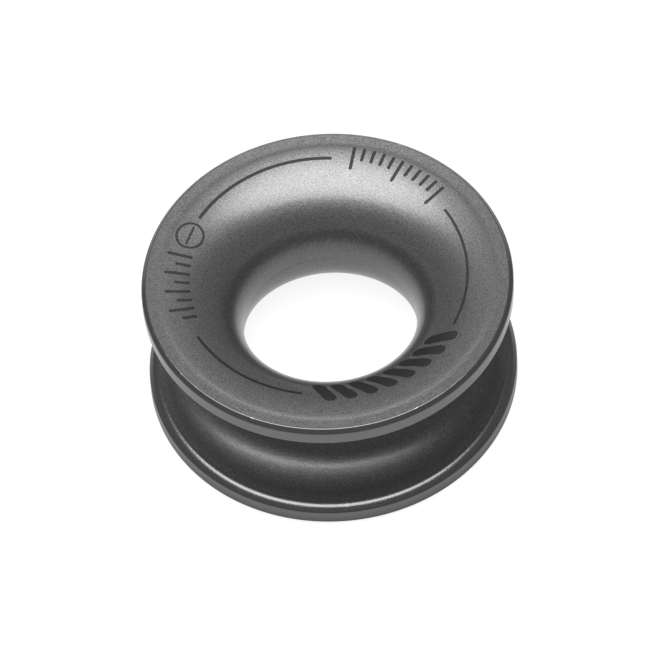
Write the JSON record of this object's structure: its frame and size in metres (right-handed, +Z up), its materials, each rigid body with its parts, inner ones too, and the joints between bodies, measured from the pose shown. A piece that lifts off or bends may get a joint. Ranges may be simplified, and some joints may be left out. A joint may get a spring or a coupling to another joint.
{
  "type": "rope fairlead eye",
  "caption": "Low friction rope ring with a smooth flared bore for a running line and a deep round groove outside for the lashing that holds it.",
  "frame": {"origin": "centre of the ring's lower end, on its axis", "axes": "+Z up along the bore's axis; the ring is round, so X and Y may point anywhere across it"},
  "size_m": [0.0256, 0.0256, 0.011],
  "materials": {
    "anodised_aluminium": "hard anodised dark grey, fine satin grain"
  },
  "bodies": {
    "root": {"fairlead_ring": "anodised_aluminium"}
  },
  "joints": []
}
